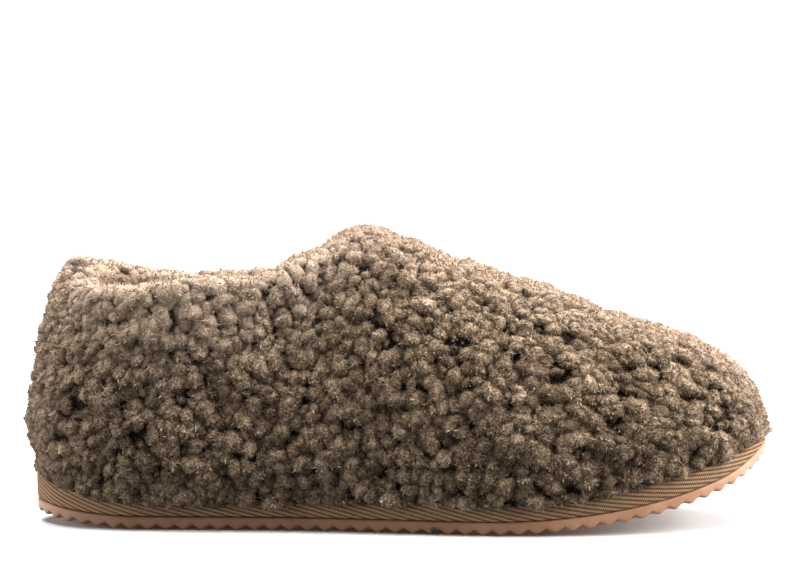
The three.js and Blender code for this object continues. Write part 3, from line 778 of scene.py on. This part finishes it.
def wool_material(name, gap, body, tip, bump):
    """Dyed curly wool: a ramp over the depth of the pile, shifted from curl to curl, from patch to patch
    and from hair to hair, then lightened by painted light, a painted highlight where the lamps fall on it."""
    material, tree, shader = new_material(name)
    depth = add_node(tree, "ShaderNodeAttribute", attribute_name="depth")
    lot = add_node(tree, "ShaderNodeAttribute", attribute_name="lot")
    painted_light = add_node(tree, "ShaderNodeAttribute", attribute_name="painted_light")
    place = add_node(tree, "ShaderNodeTexCoord")
    patches = add_node(tree, "ShaderNodeTexNoise", {
        "Vector": place.outputs["Object"], "Scale": 1 / (PATCH_SIZE * TO_METRES), "Detail": 2.0,
    })
    grain = add_node(tree, "ShaderNodeTexNoise", {
        "Vector": place.outputs["Object"], "Scale": 1 / (HAIR_GRAIN * TO_METRES), "Detail": 2.0,
    })
    # Low depth, in the gaps, turns near black: partly the darker dyed roots, partly painted shade between the
    # curls.
    total = add_node(tree, "ShaderNodeMath", {0: depth.outputs["Fac"], 1: 0.72, 2: -0.72},
                     operation="MULTIPLY_ADD")
    for node, weight in ((lot, 0.12), (patches, 0.35), (grain, 1.1)):
        total = add_node(tree, "ShaderNodeMath", {0: node.outputs["Fac"], 1: weight, 2: total.outputs[0]},
                         operation="MULTIPLY_ADD")
    ramp = add_node(tree, "ShaderNodeValToRGB", {"Fac": total.outputs[0]})
    steps = ramp.color_ramp.elements
    steps[0].position, steps[0].color = 0.1, linear(gap)
    steps[1].position, steps[1].color = 1.0, linear(tip)
    middle = steps.new(0.6)
    middle.color = linear(body)
    # Painted highlight: where the painted light is strong, the colour is mixed towards a pale tan.
    share = add_node(tree, "ShaderNodeMath", {0: painted_light.outputs["Fac"], 1: 0.5}, operation="MULTIPLY")
    painted_light_mix = add_node(tree, "ShaderNodeMix", {
        "Factor": share.outputs[0], 6: ramp.outputs["Color"], 7: linear("#d3bca8"),
    }, data_type="RGBA")
    tree.links.new(painted_light_mix.outputs[2], shader.inputs["Base Color"])
    shader.inputs["Roughness"].default_value = 0.95
    shader.inputs["Specular IOR Level"].default_value = 0.1
    shader.inputs["Sheen Weight"].default_value = 0.2
    shader.inputs["Sheen Roughness"].default_value = 0.5
    shader.inputs["Sheen Tint"].default_value = linear("#e8d6c6")
    if bump:
        relief = add_node(tree, "ShaderNodeBump", {
            "Height": grain.outputs["Fac"], "Strength": 1.0, "Distance": HAIR_RELIEF * TO_METRES,
        })
        tree.links.new(relief.outputs["Normal"], shader.inputs["Normal"])
    return material


# The gap colour is near black: partly the dyed roots and partly painted shade in the gaps.
curly_wool = wool_material("dyed_curly_sheepskin", "#150c06", "#7b6751", "#cbb49b", True)
# The loose fibres have lighter colours throughout: painted light shining through the fuzz.
loose_wool = wool_material("loose_wool_fibre", "#352619", "#a18c75", "#e3d0bb", False)
wear(pile_back, curly_wool, "curly_shearling", "upper")
wear(pile_front, curly_wool, "curly_shearling", "upper")
wear(fuzz_back, loose_wool, "curly_shearling", "upper")
wear(fuzz_front, loose_wool, "curly_shearling", "upper")

# %% [markdown]
# ## The tape round the platform
# A woven band is wrapped round the platform and glued. Its edges turn in by a fraction of a millimetre
# and it bellies out slightly between them. It is a closed ring with a thin section. The weave is too
# fine to model, so the ring carries a place on its surface in millimetres and the material draws the
# weave there: slanting ridges, cut into short floats, as in a coarse twill.

# %% Tape
TAPE_THICKNESS = 1.3
TAPE_BULGE = 0.3
TAPE_COLUMNS = 720
TAPE_EDGE = 0.45


def tape_section(height):
    """Offset and height of the tape's section in millimetres, from its inner lower edge over the face to
    its inner upper edge. height is one number per column."""
    low = [(-TAPE_THICKNESS, 0.0), (-TAPE_EDGE, 0.0), (-0.13, 0.13), (0.0, TAPE_EDGE)]
    face = np.linspace(0, 1, 9)[1:-1]
    rows = [(o, h + 0 * height) for o, h in low]
    rows += [(TAPE_BULGE * math.sin(math.pi * f), TAPE_EDGE + f * (height - 2 * TAPE_EDGE)) for f in face]
    rows += [(o, height - h) for o, h in low[::-1]]
    return rows


share = np.arange(TAPE_COLUMNS) / TAPE_COLUMNS
foot_x = outline_at(share)[:, 0]
tape_height = platform_top(foot_x) - platform_bottom(foot_x)
tape_rows = []
tape_lifts = []
for offset, lift in tape_section(tape_height):
    tape_rows.append(np.column_stack([outline_at(share, offset), platform_bottom(foot_x) + lift]))
    tape_lifts.append(lift)
tape_index = np.arange(len(tape_rows) * TAPE_COLUMNS).reshape(-1, TAPE_COLUMNS)
tape = mesh_piece(
    "tape_band", np.vstack(tape_rows), grid_faces(tape_index, close_rows=True, close_columns=True),
    {"around": np.tile(share * PERIMETER, len(tape_rows)), "across": np.concatenate(tape_lifts)},
)

# %% [markdown]
# ## The outsole
# The outsole is cut from a sheet of gum rubber, moulded with a groove about every 6.4 mm that runs in
# from the edge. Seen from the side its lower edge is a row of V-shaped notches with narrow teeth between
# them. It is one closed surface: rings of points round the edge, and a ladder of rungs across the
# underside and the top. The top edge is rounded off, and the teeth stop a little above the floor that
# the flat middle of the tread stands on.

# %% Outsole
RIB_RELIEF = 0.3
GROOVE_WIDTH = 5.6
RIBS_ROUND = 4 * round(PERIMETER / RIB_PITCH / 4)
PER_RIB = 12
RUNG_STEPS = 10


def groove(share):
    """1 in the middle of a groove and 0 on the rib beside it: a V, nine tenths straight and one tenth
    smooth step, so that its foot and shoulders are just softened."""
    across = np.abs(np.mod(share * RIBS_ROUND, 1) - 0.5) * PERIMETER / RIBS_ROUND / (GROOVE_WIDTH / 2)
    steep = np.clip(1 - across, 0, 1)
    return 0.9 * steep + 0.1 * ease(steep)


def ladder(ring, first_new):
    """Index grid of rungs across a ring of vertex numbers. Rung i joins corner i to corner N - i, with
    new points numbered from first_new between them. At both ends a rung is a single corner."""
    count = len(ring)
    rungs = count // 2
    index = np.zeros((rungs + 1, RUNG_STEPS + 1), int)
    index[:, 0] = ring[: rungs + 1]
    index[:, -1] = np.roll(ring[::-1], 1)[: rungs + 1]
    inner = (rungs - 1) * (RUNG_STEPS - 1)
    index[1:-1, 1:-1] = first_new + np.arange(inner).reshape(rungs - 1, -1)
    index[0], index[-1] = ring[0], ring[rungs]
    return index


def rung_points(points, index):
    """The new points of a ladder: evenly spaced between both ends of each rung."""
    s = np.linspace(0, 1, RUNG_STEPS + 1)[1:-1, None]
    a, b = points[index[1:-1, 0]][:, None], points[index[1:-1, -1]][:, None]
    return (a + (b - a) * s).reshape(-1, 3)


def triangles_of(quads):
    """Two triangles for each quad, less those that have shrunk to a line."""
    both = np.concatenate([quads[:, [0, 1, 2]], quads[:, [0, 2, 3]]])
    kept = (both[:, 0] != both[:, 1]) & (both[:, 1] != both[:, 2]) & (both[:, 2] != both[:, 0])
    return both[kept]


# The rings of the edge: how far each lies outside the outline in mm, and its level from bottom to top.
EDGE_RINGS = (
    (-RIB_REACH, 0.0), (-6.0, 0.0), (-3.0, 0.0), (-1.2, 0.0), (-0.35, 0.03), (-0.05, 0.12), (0.0, 0.3),
    (0.05, 0.55), (0.05, 0.8), (-0.08, 0.95), (-0.5, 1.0), (-1.3, 1.0), (-RIB_REACH, 1.0),
)
share = np.arange(RIBS_ROUND * PER_RIB) / (RIBS_ROUND * PER_RIB)
foot_x = outline_at(share)[:, 0]
cut = RIB_RELIEF + groove(share) * (RIB_DEPTH - RIB_RELIEF)
sole_rows = []
for offset, level in EDGE_RINGS:
    flat = outline_at(share, offset)
    base = spring(foot_x if offset > -RIB_REACH else flat[:, 0])
    bottom = base + (1 + offset / RIB_REACH) * cut
    sole_rows.append(np.column_stack([flat, bottom + (base + OUTSOLE_THICKNESS - bottom) * level]))
sole_index = np.arange(len(sole_rows) * len(share)).reshape(-1, len(share))
sole_points = np.vstack(sole_rows)
under = ladder(sole_index[0], len(sole_points))
sole_points = np.vstack([sole_points, rung_points(sole_points, under)])
over = ladder(sole_index[-1], len(sole_points))
sole_points = np.vstack([sole_points, rung_points(sole_points, over)])
for ladder_index, lift in ((under, 0.0), (over, OUTSOLE_THICKNESS)):
    inner = ladder_index[1:-1, 1:-1].ravel()
    sole_points[inner, 2] = spring(sole_points[inner, 0]) + lift
sole_triangles = triangles_of(np.concatenate([
    grid_faces(sole_index, close_columns=True), grid_faces(under)[:, ::-1], grid_faces(over),
]))
outsole = mesh_piece("gum_outsole", sole_points, sole_triangles, {})
print(RIBS_ROUND, "ribs round the edge")

# %% [markdown]
# ## Twill
# The tape is cotton twill in a brown a little redder than the wool. Cotton is matt. Its threads cross
# over each other one place further along in every row, which gives slanting ridges. Where two ridges meet
# the thread dips, and its colour there is painted darker as painted shade. Two sine waves draw that: one
# across the ridges and a weaker one along them, staggered from ridge to ridge. The ridges are drawn 1.5 mm
# apart, a little coarser than in the photo, so that they show.

# %% Tape material
TWILL_PITCH = 1.5
FLOAT_LENGTH = 0.85
TWILL_SLOPE = 0.27
TWILL_RELIEF = 0.4
YARN_FLECK = 1.11

twill, tree, shader = new_material("brown_cotton_twill_tape")
around = add_node(tree, "ShaderNodeAttribute", attribute_name="around")
across = add_node(tree, "ShaderNodeAttribute", attribute_name="across")
slant = add_node(tree, "ShaderNodeMath", {
    0: around.outputs["Fac"], 1: TWILL_SLOPE, 2: across.outputs["Fac"],
}, operation="MULTIPLY_ADD")
ridge = add_node(tree, "ShaderNodeMath", {0: slant.outputs[0], 1: 2 * math.pi / TWILL_PITCH},
                 operation="MULTIPLY")
ridge_wave = add_node(tree, "ShaderNodeMath", {0: ridge.outputs[0]}, operation="SINE")
cord = add_node(tree, "ShaderNodeMath", {0: ridge_wave.outputs[0], 1: 0.45, 2: 0.5}, operation="MULTIPLY_ADD")
thread = add_node(tree, "ShaderNodeMath", {0: around.outputs["Fac"], 1: 2 * math.pi / FLOAT_LENGTH},
                  operation="MULTIPLY")
stagger = add_node(tree, "ShaderNodeMath", {0: ridge.outputs[0], 1: 1.0, 2: thread.outputs[0]},
                   operation="MULTIPLY_ADD")
float_wave = add_node(tree, "ShaderNodeMath", {0: stagger.outputs[0]}, operation="SINE")
weave = add_node(tree, "ShaderNodeMath", {0: float_wave.outputs[0], 1: 0.24, 2: cord.outputs[0]},
                 operation="MULTIPLY_ADD")
place = add_node(tree, "ShaderNodeTexCoord")
uneven = add_node(tree, "ShaderNodeTexNoise", {
    "Vector": place.outputs["Object"], "Scale": 1 / (YARN_FLECK * TO_METRES), "Detail": 3.0,
})
mixed = add_node(tree, "ShaderNodeMath", {0: uneven.outputs["Fac"], 1: 0.45, 2: weave.outputs[0]},
                 operation="MULTIPLY_ADD")
# The ramp paints the low parts of the weave dark as painted shade in the dips; the yarn flecks are the
# cotton's own uneven tone.
ramp = add_node(tree, "ShaderNodeValToRGB", {"Fac": mixed.outputs[0]})
low, high = ramp.color_ramp.elements
low.position, low.color = 0.12, linear("#432e1d")
high.position, high.color = 0.95, linear("#c09976")
tree.links.new(ramp.outputs["Color"], shader.inputs["Base Color"])
relief = add_node(tree, "ShaderNodeBump", {
    "Height": mixed.outputs[0], "Strength": 1.0, "Distance": TWILL_RELIEF * TO_METRES,
})
tree.links.new(relief.outputs["Normal"], shader.inputs["Normal"])
shader.inputs["Roughness"].default_value = 0.9
shader.inputs["Specular IOR Level"].default_value = 0.2
wear(tape, twill, "twill_tape", "platform_tape")

# %% [markdown]
# ## Gum rubber
# The sole is natural gum rubber, moulded and then cut: light tan, a bit glossy and slightly cloudy. Its
# rear half, where the photo shows it darkest, is painted a darker brown, a painted shade for the side that
# faces away from the lights, and one dark scuff sits on the outer side. The painted shade is mixed in by the
# distance along the foot, the scuff by the distance from one point on the edge.

# %% Rubber material
CLOUD_SIZE = 11.1
RUBBER_GRAIN = 1.11
RUBBER_RELIEF = 0.2
PAINTED_SHADE_MIDDLE = 85.0
PAINTED_SHADE_REACH = (60.0, 120.0)
SCUFF_ALONG = 145.0
SCUFF_HEIGHT = 1.6
SCUFF_RADII = (1.0, 1.6)

gum, tree, shader = new_material("natural_gum_rubber")
place = add_node(tree, "ShaderNodeTexCoord")
cloudy = add_node(tree, "ShaderNodeTexNoise", {
    "Vector": place.outputs["Object"], "Scale": 1 / (CLOUD_SIZE * TO_METRES), "Detail": 4.0,
})
ramp = add_node(tree, "ShaderNodeValToRGB", {"Fac": cloudy.outputs["Fac"]})
low, high = ramp.color_ramp.elements
low.position, low.color = 0.3, linear("#b37f5c")
high.position, high.color = 0.7, linear("#d0a07b")
parts = add_node(tree, "ShaderNodeSeparateXYZ", {0: place.outputs["Object"]})
middle_x = (PAINTED_SHADE_MIDDLE + SHIFT[0]) * TO_METRES
along = add_node(tree, "ShaderNodeMath", {0: parts.outputs["X"], 1: middle_x}, operation="SUBTRACT")
from_middle = add_node(tree, "ShaderNodeMath", {0: along.outputs[0]}, operation="ABSOLUTE")
# Painted shade: a darker brown mixed in round the rear half of the sole, which faces away from the lights.
painted_shade_share = add_node(tree, "ShaderNodeMapRange", {
    "Value": from_middle.outputs[0], "To Min": 0.8, "To Max": 0.0,
    "From Min": PAINTED_SHADE_REACH[0] * TO_METRES, "From Max": PAINTED_SHADE_REACH[1] * TO_METRES,
})
brown = add_node(tree, "ShaderNodeMix", {
    "Factor": painted_shade_share.outputs["Result"], 6: ramp.outputs["Color"], 7: linear("#734d36"),
}, data_type="RGBA")
edge = outline_at(np.linspace(0.0, 1.0, 4000))
edge = edge[edge[:, 1] < 0]
scuff_x, scuff_y = edge[np.argmin(np.abs(edge[:, 0] - SCUFF_ALONG))] + SHIFT[:2]
from_scuff = add_node(tree, "ShaderNodeVectorMath", {
    0: place.outputs["Object"], 1: (scuff_x * TO_METRES, scuff_y * TO_METRES, SCUFF_HEIGHT * TO_METRES),
}, operation="DISTANCE")
near_scuff = add_node(tree, "ShaderNodeMapRange", {
    "Value": from_scuff.outputs["Value"], "To Min": 0.95, "To Max": 0.0,
    "From Min": SCUFF_RADII[0] * TO_METRES, "From Max": SCUFF_RADII[1] * TO_METRES,
})
dark = add_node(tree, "ShaderNodeMix", {
    "Factor": near_scuff.outputs["Result"], 6: brown.outputs[2], 7: linear("#1d1a1a"),
}, data_type="RGBA")
tree.links.new(dark.outputs[2], shader.inputs["Base Color"])
fine = add_node(tree, "ShaderNodeTexNoise", {
    "Vector": place.outputs["Object"], "Scale": 1 / (RUBBER_GRAIN * TO_METRES), "Detail": 2.0,
})
relief = add_node(tree, "ShaderNodeBump", {
    "Height": fine.outputs["Fac"], "Strength": 0.3, "Distance": RUBBER_RELIEF * TO_METRES,
})
tree.links.new(relief.outputs["Normal"], shader.inputs["Normal"])
shader.inputs["Roughness"].default_value = 0.5
wear(outsole, gum, "gum_rubber", "outsole")

# %% [markdown]
# ## Pieces that keep their CAD form
# The platform core is hidden between tape and outsole: moulded foam rubber, matt and greyish. The insole
# is a flat bed of short wool that shows only from above: a noise as coarse as its tufts, 4 mm, mixes two
# browns and raises them. Both keep the form of the CAD model, so they only get a material.

# %% Hidden core and footbed
FOOTBED_TUFT = 3.85
FOOTBED_RELIEF = 4.0

core, tree, shader = new_material("foamed_rubber_core")
shader.inputs["Base Color"].default_value = linear("#a89784")
shader.inputs["Roughness"].default_value = 0.9
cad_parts["midsole"].data.materials.clear()
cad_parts["midsole"].data.materials.append(core)

footbed, tree, shader = new_material("short_wool_footbed")
place = add_node(tree, "ShaderNodeTexCoord")
tufts = add_node(tree, "ShaderNodeTexNoise", {
    "Vector": place.outputs["Object"], "Scale": 1 / (FOOTBED_TUFT * TO_METRES), "Detail": 6.0,
    "Roughness": 0.75, "Distortion": 0.6,
})
ramp = add_node(tree, "ShaderNodeValToRGB", {"Fac": tufts.outputs["Fac"]})
low, high = ramp.color_ramp.elements
low.position, low.color = 0.35, linear("#6b5746")
high.position, high.color = 0.62, linear("#cbb6a3")
tree.links.new(ramp.outputs["Color"], shader.inputs["Base Color"])
relief = add_node(tree, "ShaderNodeBump", {
    "Height": tufts.outputs["Fac"], "Strength": 1.0, "Distance": FOOTBED_RELIEF * TO_METRES,
})
tree.links.new(relief.outputs["Normal"], shader.inputs["Normal"])
shader.inputs["Roughness"].default_value = 0.95
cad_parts["insole"].data.materials.clear()
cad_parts["insole"].data.materials.append(footbed)
print("the insole keeps its", len(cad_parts["insole"].data.polygons), "faces and wears", footbed.name)

# %% [markdown]
# ## Floor, light and camera
# The photo is a plain catalogue picture: white ground, broad soft light and a long lens that stands a
# little above the slipper and looks down by a few degrees. Only a thin shadow lies under the sole. The
# light comes mostly from above, much of it also from beyond the toe and some from behind the heel. It
# could be area lamps, but suns with a wide disc give the same soft light at every distance. The floor
# throws none of it back at the slipper, whose lower edge is dark in the photo.

# %% Floor
FLOOR_METRES = 800

floor_mesh = bpy.data.meshes.new("floor")
half = FLOOR_METRES / 2
floor_mesh.from_pydata([(-half, -half, 0), (half, -half, 0), (half, half, 0), (-half, half, 0)],
                       [], [(0, 1, 2, 3)])
floor = bpy.data.objects.new("floor", floor_mesh)
bpy.context.scene.collection.objects.link(floor)
paper, tree, shader = new_material("white_paper_floor")
shader.inputs["Base Color"].default_value = linear("#e6e6e6")
shader.inputs["Roughness"].default_value = 1.0
shader.inputs["Specular IOR Level"].default_value = 0.0
floor_mesh.materials.append(paper)
floor.visible_diffuse = False
print("the floor is", FLOOR_METRES, "m wide, so that no view shows its edge")

# %% Light
world = bpy.data.worlds.new("studio")
bpy.context.scene.world = world
world.use_nodes = True
sky = next(n for n in world.node_tree.nodes if n.type == "BACKGROUND")
sky.inputs["Color"].default_value = linear("#ffffff")
sky.inputs["Strength"].default_value = 0.22
bpy.context.scene.view_settings.view_transform = "Standard"


def broad_light(name, toward, spread, power):
    """A soft light from far away that shines in the direction `toward`, from a patch of sky `spread`
    degrees across."""
    lamp_data = bpy.data.lights.new(name, "SUN")
    lamp_data.angle = math.radians(spread)
    lamp_data.energy = power
    lamp = bpy.data.objects.new(name, lamp_data)
    lamp.rotation_euler = Vector(toward).to_track_quat("-Z", "Y").to_euler()
    bpy.context.scene.collection.objects.link(lamp)


for name, toward, spread, power in (
    ("light_above", (0.0, -0.25, -1.0), 62, 9.0),
    ("light_at_the_toe", (-1.0, 0.0, -0.5), 50, 6.8),
    ("light_at_the_heel", (1.0, 0.15, -0.05), 50, 3.6),
):
    broad_light(name, toward, spread, power)
    print(name, "shines toward", toward)

# %% Camera
CAMERA_ALONG = 133.0
CAMERA_AWAY = 1461.0
CAMERA_HEIGHT = 192.1
AIM_HEIGHT = 86.9

camera_data = bpy.data.cameras.new("photo_camera")
camera_data.lens = 180.0
camera_data.sensor_width = 36.0
camera = bpy.data.objects.new("photo_camera", camera_data)
bpy.context.scene.collection.objects.link(camera)
stand = (np.array([CAMERA_ALONG, -CAMERA_AWAY, CAMERA_HEIGHT]) + SHIFT) * TO_METRES
aim = (np.array([CAMERA_ALONG, 0.0, AIM_HEIGHT]) + SHIFT) * TO_METRES
camera.location = stand
camera.rotation_euler = Vector(aim - stand).to_track_quat("-Z", "Y").to_euler()
bpy.context.scene.camera = camera
tilt = math.degrees(math.atan((CAMERA_HEIGHT - AIM_HEIGHT) / CAMERA_AWAY))
print("the camera looks down by", round(tilt, 1), "degrees")
